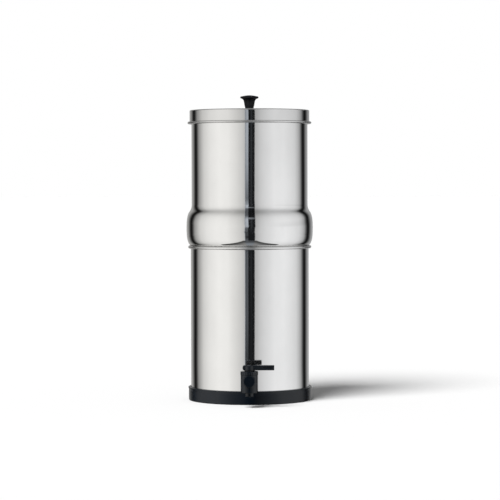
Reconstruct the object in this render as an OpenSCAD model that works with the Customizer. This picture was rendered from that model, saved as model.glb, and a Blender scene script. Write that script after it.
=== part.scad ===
// Gravity water filter: two stacked chambers of thin polished steel, a lid with a knob,
// a base ring, filter candles on the upper floor and a quarter-turn tap.
// +Z is up. The origin is on the chambers' axis at table level, and the tap faces -Y.

/* [Steel chambers] */
// Thickness of the pressed steel sheet
sheet = 0.6; // [0.5:0.05:0.7]
// Outside diameter of the lower chamber
lower_d = 200; // [190:1:215]
// Height of the lower chamber's rim above the table
lower_h = 261.9; // [240:0.1:300]
// Diameter of the rolled bead round the lower chamber's rim
lower_bead_d = 5; // [4:0.1:6]
// Radius of the bend between the lower chamber's floor and its wall
lower_corner_r = 6; // [4:0.5:9]
// Height by which the middle of the lower floor is raised, to stiffen it
floor_raise = 3; // [2:0.5:5]
// Radial gap that lets the upper chamber be stored inside the lower one
nest_gap = 1.1; // [0.3:0.05:1.5]
// Height of the upper chamber's rim above the lower one's
upper_h = 228.1; // [200:0.1:260]
// Diameter of the rolled bead round the upper chamber's rim
upper_bead_d = 2.4; // [2:0.1:3]
// Largest diameter of the bulge at the foot of the upper chamber
bulge_d = 214.2; // [210:0.1:222]
// Height of the bulge's widest line above the lower rim
bulge_mid_h = 31; // [26:0.5:36]
// Height above the lower rim at which the bulge has run out into the wall
bulge_top_h = 70; // [60:0.5:85]
// Depth to which the upper chamber's foot drops into the lower chamber
spigot_h = 18; // [14:0.5:26]
// Radius of the bend between the upper chamber's floor and its foot
upper_corner_r = 8; // [5:0.5:10]
// Gap between the foot of the upper chamber and the lower chamber's rim
seat_gap = 0.3; // [0.2:0.05:0.5]

/* [Lid] */
// Height of the lid from its top to the bottom of its bead
lid_h = 22.8; // [16:0.1:30]
// Diameter of the rolled bead round the lid's skirt
lid_bead_d = 4.1; // [3:0.05:5]
// Radius of the bend between the lid's top and its skirt
lid_corner_r = 2; // [1.4:0.1:2.4]
// Radial gap between the lid's skirt and the upper chamber's bead
lid_gap = 0.7; // [0.25:0.05:0.9]
// Diameter of the knob's disc
knob_d = 31; // [26:0.5:40]
// Height of the knob above the lid
knob_h = 26; // [20:0.5:32]
// Diameter of the knob's neck at its narrowest
knob_neck_d = 14.4; // [13:0.2:18]

/* [Base ring] */
// Height of the base ring
base_h = 22.5; // [16:0.1:26]
// Thickness of the base ring's wall
base_wall = 3.9; // [3:0.1:6]
// Height of the ledge that carries the lower chamber
base_seat_h = 8; // [6:0.5:10]
// Thickness of that ledge
base_ledge_t = 3; // [2:0.5:4]
// Width of that ledge
base_ledge_w = 16; // [12:1:20]
// Width of the lip round the top of the base ring
base_lip = 0.8; // [0.4:0.1:1.5]

/* [Tap] */
// Height of the tap's bore above the table
tap_z = 44.6; // [42:0.1:60]
// Distance from the chamber's wall to the valve's axis
tap_reach = 51; // [42:0.5:60]
// Diameter of the threaded shank through the wall
shank_d = 15.6; // [14:0.1:18]
// Length of the shank inside the wall
shank_l = 18; // [16:0.5:26]
// Diameter of the collar that clamps against the wall
collar_d = 28; // [24:0.5:30]
// Diameter of the barrel between the collar and the valve housing
barrel_d = 17; // [15:0.5:17]
// Diameter of the closed boss in front of the housing, in line with the barrel
boss_d = 19.4; // [17:0.1:20]
// How far the boss stands out from the housing
boss_l = 2.5; // [1.5:0.5:6]
// Diameter of the valve housing
housing_d = 28.3; // [27:0.1:30]
// Depth of the valve housing below the bore's axis
housing_drop = 19.6; // [14:0.1:22]
// Diameter of the water passage
port_d = 8; // [6:0.5:9]
// Diameter of the valve plug
plug_d = 14; // [13:0.5:15]
// Outside diameter of the spout under the housing
spout_d = 14.2; // [13.5:0.1:18]
// Diameter of the spout's passage
spout_bore = 9.5; // [8:0.5:11]
// Height of the spout's mouth above the table
spout_mouth_z = 18.9; // [8:0.1:20]
// Diameter of the screwed cap that holds the plug in
bonnet_d = 28.9; // [28.5:0.1:32]
// Height of the screwed cap
bonnet_h = 5.9; // [5.5:0.1:10]
// Reach of the lever from the valve's axis to its tip
lever_l = 40.9; // [30:0.1:55]
// Reach of the lever's short end behind the valve's axis
lever_tail = 10.9; // [10:0.1:14]
// Height of the lever
lever_h = 7.9; // [7:0.1:9]
// Width of the lever
lever_w = 11; // [8:0.5:12]
// Diameter of the lever's hub
lever_hub_d = 17; // [16.5:0.5:20]

/* [Filter candles] */
// Distance of each candle and each blanking plug from the axis
candle_pitch_r = 45; // [42:0.5:55]
// Outside diameter of a candle's ceramic shell
candle_d = 50; // [44:0.5:52]
// Height of a candle's ceramic shell
candle_h = 175; // [120:1:190]
// Wall of the ceramic shell
candle_wall = 8; // [6:0.5:10]
// Diameter of the threaded stem under a candle
stem_d = 10; // [8:0.5:12]
// Length of the stem below the upper chamber's floor
stem_l = 38; // [30:1:45]
// Thickness of the rubber seal under a candle or a blanking plug
seal_t = 2; // [1.5:0.5:3]

/* [Hidden] */
$fn = 96;

// Clearances
touch_gap = 0.1;    // between fixed parts that slip together
run_gap = 0.05;     // radial, between parts that turn in each other
rest_gap = 0.3;     // between the lid's top and the rim it rests on

// Chambers, in radius and height
lower_r = lower_d / 2;
lower_in_r = lower_r - sheet;
lower_bead = [lower_in_r + lower_bead_d / 2, lower_h - lower_bead_d / 2];
upper_r = lower_in_r - nest_gap;
seat_r = lower_bead_d / 2 + seat_gap;
seat_leave = 130;   // angle round the lower bead at which the bulge leaves it
upper_floor = lower_h - spigot_h;
upper_rim = lower_h + upper_h;
upper_bead = [upper_r - sheet + upper_bead_d / 2, upper_rim - upper_bead_d / 2];
bulge_mid = [bulge_d / 2, lower_h + bulge_mid_h];
bulge_end = [upper_r, lower_h + bulge_top_h];
curl_end = -125;    // angle at which a rolled rim stops, just short of the wall
raise_r = lower_r - 28;

// Lid
lid_r = upper_bead[0] + upper_bead_d / 2 + lid_gap + sheet;
lid_top = upper_rim + rest_gap + sheet;
lid_bead = [lid_r - sheet + lid_bead_d / 2, lid_top - lid_h + lid_bead_d / 2];
knob_screw_d = 4.8;
knob_screw_l = 16;
knob_disc_t = 3;
knob_dome = 1.8;

// Tap, in distance from the wall's outside and in height
washer_t = 3;
collar_t = 4;
nut_t = 8;
nut_af = 26;
plug_seat = tap_z - port_d / 2 - 8;
shoulder_z = tap_z + boss_d / 2 + touch_gap;
neck_d = housing_d - 3.3;
bonnet_top = shoulder_z + bonnet_h;
neck_top = bonnet_top - 1.8;
plug_top = bonnet_top - 2.2;
stem_neck_d = 8;
lever_z = bonnet_top + 1.8;
hub_neck_d = 12.4;
drive_w = 5;
groove_w = 2.2;
groove_depth = 1.4;
groove_z = [tap_z - port_d / 2 - 3.2, tap_z + port_d / 2 + 3.2];
stop_r = [hub_neck_d / 2 + 0.6, lever_hub_d / 2 - 0.5];
stop_half = 15;     // half the angle that the hub's stop lug spans
stop_mid = 135;     // where it points with the tap closed, from the lever's direction
stop_play = 2;
tap_turn = 90;

// Candles
floor_top = upper_floor + sheet;
candle_base = floor_top + seal_t;
cup_floor = 3.4;
cup_h = 12;
hole_d = stem_d + 0.6;
nut_h = 12;
plug_head_h = 5;
LEFT = [-candle_pitch_r, 0];
RIGHT = [candle_pitch_r, 0];
FRONT = [0, -candle_pitch_r];
BACK = [0, candle_pitch_r];

// Points of an arc round c, from angle a to angle b
function arc(c, r, a, b, n = 8) =
  [for (i = [0:n]) let (t = a + (b - a) * i / n) [c[0] + r * cos(t), c[1] + r * sin(t)]];

// Points of a cubic curve, without its first one
function curve(p, q, r, s, n = 18) =
  [for (i = [1:n]) let (t = i / n, u = 1 - t)
    u * u * u * p + 3 * u * u * t * q + 3 * u * t * t * r + t * t * t * s];

function unit(v) = v / norm(v);
function left_of(v) = [-v[1], v[0]];

// The path moved to its left by t, with its corners kept sharp
function shifted(path, t) = let (last = len(path) - 1) [for (i = [0:last])
  let (before = unit(path[max(i, 1)] - path[max(i, 1) - 1]),
       after = unit(path[min(i, last - 1) + 1] - path[min(i, last - 1)]),
       side = left_of(unit(before + after)))
  path[i] + side * t / (side * left_of(before))];

function reversed(path) = [for (i = [len(path) - 1:-1:0]) path[i]];

// A sheet metal shell: the path is one face, and the sheet lies t to its left
module spun_sheet(path, t) {
  rotate_extrude() polygon(concat(path, reversed(shifted(path, t))));
}

module at(place, z) {
  translate([place[0], place[1], z]) children();
}

module ring(outer_d, inner_d, h) {
  difference() {
    cylinder(d = outer_d, h = h);
    translate([0, 0, -1]) cylinder(d = inner_d, h = h + 2);
  }
}

module hexagon_nut(across, bore, h) {
  difference() {
    cylinder(d = across / cos(30), h = h, $fn = 6);
    translate([0, 0, -1]) cylinder(d = bore, h = h + 2);
  }
}

// A round bar on the tap's axis, between two distances from the wall's outside
module tap_bar(from, to, d) {
  translate([0, -lower_r - from, tap_z]) rotate([90, 0, 0]) cylinder(d = d, h = to - from);
}

module at_valve(z) {
  translate([0, -lower_r - tap_reach, z]) children();
}

// ---- Base ring and chambers ----

// One moulded ring: a foot, a ledge under the chamber and a wall with a lip round it
module base_ring() color([0.13, 0.14, 0.15]) {
  inner = lower_r + touch_gap;
  outer = inner + base_wall;
  ledge_in = lower_r - base_ledge_w;
  rotate_extrude() polygon(concat(
    [[ledge_in, base_seat_h], [ledge_in, base_seat_h - base_ledge_t],
     [inner - 3, base_seat_h - base_ledge_t], [inner - 2.5, 0]],
    arc([outer - 0.8, 0.8], 0.8, -90, 0, 4),
    [[outer, base_h - 3.2]],
    arc([outer + base_lip - 1.2, base_h - 1.2], 1.2, 0, 90, 5),
    arc([inner + 1, base_h - 1], 1, 90, 180, 4),
    [[inner, base_seat_h]]));
}

// The lower chamber: raised floor, bent foot, straight wall and rolled rim
module lower_chamber() color([0.82, 0.82, 0.83]) difference() {
  spun_sheet(concat(
    [[0, base_seat_h + floor_raise], [raise_r, base_seat_h + floor_raise], [raise_r + 4, base_seat_h]],
    arc([lower_r - lower_corner_r, base_seat_h + lower_corner_r], lower_corner_r, -90, 0),
    arc(lower_bead, lower_bead_d / 2 - sheet, 180, curl_end, 24)), sheet);
  tap_bar(-10, 10, shank_d + 0.4);
}

// The upper chamber: flat floor, a foot that drops inside the lower rim, a seat that rolls
// over the lower bead, the bulge, a straight wall and a rolled rim
module upper_chamber() color([0.84, 0.84, 0.85]) {
  leave = [cos(seat_leave), sin(seat_leave)];
  start = lower_bead + seat_r * leave;
  rise = bulge_mid[1] - start[1];
  fall = bulge_end[1] - bulge_mid[1];
  difference() {
    spun_sheet(concat(
      [[0, upper_floor]],
      arc([lower_in_r - seat_gap - upper_corner_r, upper_floor + upper_corner_r],
        upper_corner_r, -90, 0),
      arc(lower_bead, seat_r, 180, seat_leave, 6),
      curve(start, start + 0.23 * rise * [leave[1], -leave[0]],
        bulge_mid - [0, 0.6 * rise], bulge_mid, 14),
      curve(bulge_mid, bulge_mid + [0, 0.82 * fall], bulge_end - [0, 0.41 * fall], bulge_end),
      arc(upper_bead, upper_bead_d / 2 - sheet, 180, curl_end, 16)), sheet);
    for (place = [LEFT, RIGHT, FRONT, BACK])
      at(place, upper_floor - 1) cylinder(d = hole_d, h = sheet + 2);
  }
}

// ---- Lid ----

module lid() color([0.84, 0.84, 0.85]) difference() {
  spun_sheet(concat(
    [[0, lid_top]],
    arc([lid_r - lid_corner_r, lid_top - lid_corner_r], lid_corner_r, 90, 0),
    arc(lid_bead, lid_bead_d / 2 - sheet, 180, 360 - curl_end, 20)), -sheet);
  at([0, 0], lid_top - sheet - 1) cylinder(d = knob_screw_d + 0.6, h = sheet + 2);
}

// A turned mushroom knob: foot, neck that widens upwards, flared underside and domed disc
module lid_knob() color([0.09, 0.09, 0.1]) {
  rim = knob_h - knob_dome - knob_disc_t / 2;
  neck = knob_neck_d / 2;
  difference() {
    at([0, 0], lid_top) rotate_extrude() polygon(concat(
      [[0, 0], [neck + 0.6, 0], [neck + 0.6, 0.8]],
      curve([neck + 0.6, 0.8], [neck - 0.2, 2], [neck - 0.1, 4.5], [neck + 0.9, 7.5], 6),
      curve([neck + 0.9, 7.5], [neck + 1.5, 9.5], [neck + 1.5, rim - 8.5],
        [neck + 2.6, rim - 5.5], 6),
      curve([neck + 2.6, rim - 5.5], [neck + 3.5, rim - 3.2], [neck + 5, rim - 2.2],
        [knob_d / 2 - 1.2, rim - knob_disc_t / 2], 8),
      arc([knob_d / 2 - knob_disc_t / 2, rim], knob_disc_t / 2, -60, 70, 8),
      curve([knob_d / 2 - knob_disc_t / 2 + 0.5, rim + knob_disc_t / 2 - 0.1],
        [knob_d / 2 - 4, rim + knob_disc_t / 2 + 0.8], [knob_d / 6, knob_h], [0, knob_h], 8)));
    at([0, 0], lid_top - 1) cylinder(d = knob_screw_d, h = knob_screw_l + 1);
  }
}

module lid_knob_washer() color([0.75, 0.75, 0.77])
  at([0, 0], lid_top - sheet - 1) ring(14, knob_screw_d + 0.4, 1);

module lid_knob_screw() color([0.75, 0.75, 0.77]) difference() {
  union() {
    at([0, 0], lid_top - sheet - 1) cylinder(d = knob_screw_d, h = knob_screw_l);
    at([0, 0], lid_top - sheet - 4) rotate_extrude()
      polygon(concat([[0, 0]], arc([3.6, 1.4], 1.4, -90, 0, 5), [[5, 3], [0, 3]]));
  }
  at([0, 0], lid_top - sheet - 5) for (turn = [0, 90])
    rotate(turn) translate([-3, -0.5, 0]) cube([6, 1, 2.8]);
}

// ---- Tap ----

// Shank, collar, barrel and boss on one level axis, and an upright housing for the valve
// whose foot narrows to the spout
module tap_body() color([0.08, 0.09, 0.1]) {
  foot = tap_z - housing_drop;
  difference() {
    union() {
      tap_bar(-sheet - shank_l, washer_t, shank_d);
      tap_bar(washer_t, washer_t + collar_t, collar_d);
      tap_bar(washer_t + collar_t, tap_reach, barrel_d);
      at_valve(tap_z) rotate([90, 0, 0]) rotate_extrude() polygon(concat(
        [[0, 0], [boss_d / 2, 0]],
        arc([boss_d / 2 - 0.8, housing_d / 2 + boss_l - 0.8], 0.8, 0, 90, 4),
        [[0, housing_d / 2 + boss_l]]));
      at_valve(0) rotate_extrude() polygon(concat(
        [[0, spout_mouth_z]],
        arc([spout_d / 2 - 0.8, spout_mouth_z + 0.8], 0.8, -90, 0, 4),
        arc([spout_d / 2 + 1.2, foot - 1.2], 1.2, 180, 90, 4),
        arc([housing_d / 2 - 1.5, foot + 1.5], 1.5, -90, 0, 5),
        [[housing_d / 2, shoulder_z], [neck_d / 2, shoulder_z], [neck_d / 2, neck_top],
         [0, neck_top]]));
    }
    at_valve(plug_seat) cylinder(d = plug_d + 2 * run_gap, h = neck_top);
    at_valve(spout_mouth_z - 1) cylinder(d = spout_bore, h = plug_seat - spout_mouth_z + 2);
    tap_bar(-sheet - shank_l - 1, tap_reach, port_d);
  }
}

// Rubber washers, flat on one side and pressed to the round wall on the other
module tap_outer_washer() color([0.12, 0.12, 0.12]) difference() {
  tap_bar(-10, washer_t, collar_d);
  tap_bar(-11, washer_t + 1, shank_d);
  cylinder(r = lower_r, h = lower_h, $fn = 360);
}

module tap_inner_washer() color([0.12, 0.12, 0.12]) intersection() {
  difference() {
    tap_bar(-sheet - washer_t, 5, collar_d);
    tap_bar(-sheet - washer_t - 1, 6, shank_d);
  }
  cylinder(r = lower_in_r, h = lower_h, $fn = 360);
}

module tap_nut() color([0.1, 0.1, 0.11])
  translate([0, -lower_in_r + washer_t, tap_z]) rotate([-90, 0, 0]) {
    ring(nut_af + 2.5, shank_d, 2);
    rotate(30) hexagon_nut(nut_af, shank_d, nut_t);
  }

// The screwed cap over the valve, with grip flutes and two stop lugs for the lever
module tap_bonnet() color([0.08, 0.09, 0.1]) {
  difference() {
    at_valve(shoulder_z) cylinder(d = bonnet_d, h = bonnet_h);
    at_valve(shoulder_z - 1) cylinder(d = neck_d + 2 * touch_gap, h = neck_top - shoulder_z + 1.2);
    at_valve(shoulder_z) cylinder(d = stem_neck_d + 2 * run_gap, h = bonnet_h + 1);
    for (i = [0:17]) at_valve(shoulder_z - 1) rotate(i * 20 + 10)
      translate([bonnet_d / 2 + 1, 0, 0]) cylinder(r = 1.3, h = bonnet_h - 1, $fn = 24);
  }
  for (a = [stop_mid + stop_half + stop_play, stop_mid - stop_half - stop_play - tap_turn - 20])
    stop_lug(a, 20, bonnet_top, 1.2);
}

// A lug that stands round part of the valve's axis
module stop_lug(from, span, z, h) {
  at_valve(z) rotate(from) rotate_extrude(angle = span)
    translate([stop_r[0], 0]) square([stop_r[1] - stop_r[0], h]);
}

// The turning plug: bored from its side to its foot, with two o-ring grooves and a square
// drive on its stem
module tap_plug() color([0.9, 0.9, 0.88]) difference() {
  at_valve(0) union() {
    at([0, 0], plug_seat + 0.3) cylinder(d = plug_d, h = plug_top - plug_seat - 0.3);
    at([0, 0], plug_top - 1) cylinder(d = stem_neck_d, h = lever_z - plug_top + 1);
    at([0, 0], lever_z - 1) translate([-drive_w / 2, -drive_w / 2, 0])
      cube([drive_w, drive_w, 5]);
  }
  at_valve(tap_z) rotate([0, -90, 0]) cylinder(d = port_d, h = plug_d);
  at_valve(plug_seat) cylinder(d = port_d, h = tap_z - plug_seat);
  for (z = groove_z) at_valve(z - groove_w / 2)
    ring(plug_d + 2, plug_d - 2 * groove_depth, groove_w);
  at_valve(lever_z - 4) cylinder(d = 2.5, h = 12);
}

// An o-ring in the plug's groove, pressed against the housing's bore
module o_ring(z) color([0.15, 0.15, 0.15]) {
  thick = groove_depth + run_gap - 0.02;
  at_valve(z) rotate_extrude() translate([plug_d / 2 - groove_depth + thick / 2, 0])
    circle(d = thick, $fn = 32);
}

module tap_o_ring_lower() o_ring(groove_z[0]);
module tap_o_ring_upper() o_ring(groove_z[1]);

// A lever that widens and rises to its tip, with a finger recess in each side
module tap_lever() color([0.09, 0.1, 0.11]) difference() {
  at_valve(lever_z) union() {
    rotate_extrude() polygon(concat(
      [[0, 0], [lever_hub_d / 2, 0]],
      arc([lever_hub_d / 2 - 2.2, lever_h - 2.2], 2.2, 0, 90, 5), [[0, lever_h]]));
    intersection() {
      linear_extrude(lever_h) polygon(concat(
        arc([1.5 - lever_tail, 1.5 - lever_w / 2], 1.5, 180, 270, 5),
        arc([lever_l - 2, 2 - lever_w / 2], 2, -90, 0, 5),
        arc([lever_l - 2, lever_w / 2 - 2], 2, 0, 90, 5),
        arc([1.5 - lever_tail, lever_w / 2 - 1.5], 1.5, 90, 180, 5)));
      translate([0, lever_w, 0]) rotate([90, 0, 0]) linear_extrude(2 * lever_w) polygon(concat(
        arc([3 - lever_tail, 3], 3, 180, 270, 6), [[lever_l, 0]],
        arc([lever_l - 1, lever_h - 1], 1, 0, 90, 4),
        arc([3 - lever_tail, lever_h - 3], 3, 90, 180, 6)));
    }
    at([0, 0], bonnet_top + rest_gap - lever_z)
      cylinder(d = hub_neck_d, h = lever_z - bonnet_top - rest_gap);
    at_valve_zero() stop_lug(stop_mid - stop_half, 2 * stop_half, bonnet_top + 0.3, 1.7);
  }
  at_valve(bonnet_top) cylinder(d = stem_neck_d + 2 * touch_gap, h = lever_z - bonnet_top);
  at_valve(lever_z - 1) translate([-drive_w / 2 - touch_gap, -drive_w / 2 - touch_gap, 0])
    cube([drive_w + 2 * touch_gap, drive_w + 2 * touch_gap, 5.2]);
  at_valve(lever_z) cylinder(d = 3.2, h = lever_h + 1);
  at_valve(lever_z + lever_h - 2.6) cylinder(d = 7, h = 5);
  for (side = [-1, 1]) at_valve(lever_z + lever_h / 2)
    translate([0, side * lever_w / 2, 0]) rotate([90, 0, 0]) finger_slot();
}

// Takes a shape drawn at the valve back to the valve's own origin
module at_valve_zero() {
  translate([0, lower_r + tap_reach, -lever_z]) children();
}

module finger_slot() {
  translate([0, 0, -0.9]) linear_extrude(1.8) {
    translate([lever_l - 17, -1.4]) square([13, 2.8]);
    for (x = [lever_l - 17, lever_l - 4]) translate([x, 0]) circle(r = 1.4, $fn = 32);
  }
}

module tap_lever_screw() color([0.75, 0.75, 0.77]) difference() {
  at_valve(lever_z + lever_h - 2.6) {
    cylinder(d = 6.2, h = 2);
    translate([0, 0, -6]) cylinder(d = 2.5, h = 7);
  }
  at_valve(lever_z + lever_h - 1.6) for (turn = [0, 90])
    rotate(turn) translate([-2, -0.4, 0]) cube([4, 0.8, 2]);
}

// ---- Filter candles and blanking plugs ----

// A hollow ceramic shell with a domed top
module candle_shell(place) color([0.93, 0.91, 0.86])
  at(place, candle_base + cup_floor) rotate_extrude() polygon(concat(
    [[candle_d / 2, 0]],
    arc([0, candle_h - candle_d / 2], candle_d / 2, 0, 90, 14),
    arc([0, candle_h - candle_d / 2], candle_d / 2 - candle_wall, 90, 0, 14),
    [[candle_d / 2 - candle_wall, 0]]));

// A block of pressed carbon inside the shell, with a hole down to the stem
module candle_core(place) color([0.12, 0.12, 0.12])
  at(place, candle_base + cup_floor)
    ring(candle_d - 2 * candle_wall - 2, stem_d - 4, candle_h - candle_d / 2);

// The moulded cup that holds the shell, on a bored threaded stem
module candle_mount(place) color([0.2, 0.3, 0.55])
  at(place, 0) rotate_extrude() polygon([
    [stem_d / 2 - 3, upper_floor - stem_l], [stem_d / 2 - 0.6, upper_floor - stem_l],
    [stem_d / 2, upper_floor - stem_l + 0.8], [stem_d / 2, candle_base],
    [candle_d / 2 + 1.2, candle_base], [candle_d / 2 + 2, candle_base + 1],
    [candle_d / 2 + 2, candle_base + cup_h], [candle_d / 2 + touch_gap, candle_base + cup_h],
    [candle_d / 2 + touch_gap, candle_base + cup_floor],
    [stem_d / 2 - 3, candle_base + cup_floor]]);

module seal(place) color([0.75, 0.3, 0.2])
  at(place, floor_top) ring(2.6 * stem_d, stem_d + 2 * touch_gap, seal_t);

// A wing nut that draws a stem down from under the floor
module wing_nut(place) color([0.93, 0.93, 0.92])
  at(place, upper_floor - nut_h) difference() {
    union() {
      rotate_extrude() polygon([[0, 0], [stem_d / 2 + 2.2, 0], [stem_d / 2 + 3.5, nut_h - 2],
        [stem_d / 2 + 6, nut_h - 2], [stem_d / 2 + 6, nut_h], [0, nut_h]]);
      rotate([90, 0, 0]) linear_extrude(2.6, center = true) {
        for (side = [-1, 1]) translate([side * (stem_d / 2 + 9), 1]) circle(r = 5, $fn = 48);
        polygon([[-stem_d / 2 - 9, -4], [-3, 2], [3, 2], [stem_d / 2 + 9, -4],
          [stem_d / 2 + 12, 5], [stem_d / 2, nut_h - 2], [-stem_d / 2, nut_h - 2],
          [-stem_d / 2 - 12, 5]]);
      }
    }
    translate([0, 0, -9]) cylinder(d = stem_d, h = nut_h + 10);
  }

// A headed bolt that closes a spare candle hole
module blanking_plug(place) color([0.93, 0.93, 0.92]) {
  at(place, candle_base) rotate_extrude() polygon(concat(
    [[0, 0]], [[1.2 * stem_d, 0]],
    arc([1.2 * stem_d - 1.5, plug_head_h - 1.5], 1.5, 0, 90, 4), [[0, plug_head_h]]));
  at(place, upper_floor - nut_h - 3) cylinder(d = stem_d, h = nut_h + 3 + sheet + seal_t);
}

module blanking_nut(place) color([0.93, 0.93, 0.92])
  at(place, upper_floor - nut_h + 3) hexagon_nut(1.7 * stem_d, stem_d, nut_h - 3);

module candle_shell_left() candle_shell(LEFT);
module candle_shell_right() candle_shell(RIGHT);
module candle_core_left() candle_core(LEFT);
module candle_core_right() candle_core(RIGHT);
module candle_mount_left() candle_mount(LEFT);
module candle_mount_right() candle_mount(RIGHT);
module candle_seal_left() seal(LEFT);
module candle_seal_right() seal(RIGHT);
module candle_wing_nut_left() wing_nut(LEFT);
module candle_wing_nut_right() wing_nut(RIGHT);
module blanking_plug_front() blanking_plug(FRONT);
module blanking_plug_back() blanking_plug(BACK);
module blanking_seal_front() seal(FRONT);
module blanking_seal_back() seal(BACK);
module blanking_nut_front() blanking_nut(FRONT);
module blanking_nut_back() blanking_nut(BACK);

base_ring();
lower_chamber();
upper_chamber();
lid();
lid_knob();
lid_knob_washer();
lid_knob_screw();
tap_body();
tap_outer_washer();
tap_inner_washer();
tap_nut();
tap_bonnet();
tap_plug();
tap_o_ring_lower();
tap_o_ring_upper();
tap_lever();
tap_lever_screw();
candle_shell_left();
candle_shell_right();
candle_core_left();
candle_core_right();
candle_mount_left();
candle_mount_right();
candle_seal_left();
candle_seal_right();
candle_wing_nut_left();
candle_wing_nut_right();
blanking_plug_front();
blanking_plug_back();
blanking_seal_front();
blanking_seal_back();
blanking_nut_front();
blanking_nut_back();
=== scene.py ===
import math

import bmesh
import bpy
import numpy as np
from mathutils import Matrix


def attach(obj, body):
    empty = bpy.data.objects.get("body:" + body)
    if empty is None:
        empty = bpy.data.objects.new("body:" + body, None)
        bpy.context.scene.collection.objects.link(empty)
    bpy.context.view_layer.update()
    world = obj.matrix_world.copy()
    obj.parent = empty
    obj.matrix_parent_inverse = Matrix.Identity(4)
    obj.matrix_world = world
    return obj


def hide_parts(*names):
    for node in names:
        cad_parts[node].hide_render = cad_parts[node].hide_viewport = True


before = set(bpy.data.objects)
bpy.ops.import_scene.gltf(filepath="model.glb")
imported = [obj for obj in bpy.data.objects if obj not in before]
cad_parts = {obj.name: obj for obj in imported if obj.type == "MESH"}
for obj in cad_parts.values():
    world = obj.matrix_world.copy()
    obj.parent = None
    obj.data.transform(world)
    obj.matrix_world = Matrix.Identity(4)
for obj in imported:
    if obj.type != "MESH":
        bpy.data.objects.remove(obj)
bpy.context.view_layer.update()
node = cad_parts


# ---- Lower chamber ----
# The vessel that holds the filtered water: one sheet of stainless steel, deep drawn, with its floor
# pressed up in the middle and its rim rolled outwards. Inside and outside are polished to a mirror.

SHEET = 0.0006
LOWER_R = 0.100
LOWER_RIM = 0.2619
LOWER_BEAD = 0.005
LOWER_CORNER = 0.006
SEAT_Z = 0.008
FLOOR_RAISE = 0.003
RAISE_IN = 0.028
RAISE_BEND = 0.003
RAISE_ANGLE = 53.1
RAISE_RUN = 0.0048
CURL_END = -125


def arc(centre, radius, start, end, steps):
    """Part of a circle: centre + radius * (cos a, sin a), with a from start to end in even steps of
    degrees."""
    a = np.radians(np.linspace(start, end, steps + 1))
    return np.asarray(centre) + radius * np.stack([np.cos(a), np.sin(a)], axis=1)


def line(start, end, steps):
    """Points on a straight run: start + (end - start) * t, with t from 0 to 1, without the two ends."""
    t = np.linspace(0, 1, steps + 1)[1:-1, None]
    return np.asarray(start) * (1 - t) + np.asarray(end) * t


def beside(path, distance):
    """The path moved sideways: each point + distance * the left-hand normal of the chord between its
    neighbours."""
    ahead = np.gradient(path, axis=0)
    ahead /= np.linalg.norm(ahead, axis=1, keepdims=True)
    return path + distance * np.stack([-ahead[:, 1], ahead[:, 0]], axis=1)


def surface(name, grids, body, sharp=40):
    """A mesh from grids of points, one face between each four neighbours. Each grid is joined end to end
    both ways, and equal points are merged, which closes the poles. Normals point outwards, and edges stay
    sharp past an angle."""
    points = []
    faces = []
    first = 0
    for grid in grids:
        rows, columns = grid.shape[:2]
        index = first + np.arange(rows * columns).reshape(rows, columns)
        index = np.vstack([index, index[:1]])
        index = np.hstack([index, index[:, :1]])
        corners = [index[:-1, :-1], index[1:, :-1], index[1:, 1:], index[:-1, 1:]]
        points.append(grid.reshape(-1, 3))
        faces.append(np.stack(corners, axis=-1).reshape(-1, 4))
        first += rows * columns
    mesh = bpy.data.meshes.new(name)
    mesh.from_pydata(np.vstack(points), [], np.vstack(faces))
    work = bmesh.new()
    work.from_mesh(mesh)
    bmesh.ops.remove_doubles(work, verts=work.verts, dist=2e-6)
    bmesh.ops.dissolve_degenerate(work, edges=work.edges, dist=1e-6)
    bmesh.ops.recalc_face_normals(work, faces=work.faces)
    work.to_mesh(mesh)
    work.free()
    mesh.shade_smooth()
    mesh.set_sharp_from_angle(angle=math.radians(sharp))
    made = bpy.data.objects.new(name, mesh)
    bpy.context.scene.collection.objects.link(made)
    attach(made, body)
    return made


def turned(outline, steps=256, axis=(0, 0), dent=0):
    """A turned grid: each (radius, height) of a closed outline goes once round an upright axis, as
    x = (radius - dent) * cos(turn), y = (radius - dent) * sin(turn) and z = height."""
    turn = np.linspace(0, 2 * np.pi, steps, endpoint=False)[:, None]
    radius = np.clip(outline[:, 0], 0, None)[None, :] - dent
    x = axis[0] + radius * np.cos(turn)
    y = axis[1] + radius * np.sin(turn)
    return np.stack([x, y, np.broadcast_to(outline[:, 1], x.shape)], axis=-1)


def pressed(path, thickness):
    """The closed outline of a sheet: the path, and back along it, moved sideways by the thickness."""
    return np.vstack([path, beside(path, thickness)[::-1]])


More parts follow.
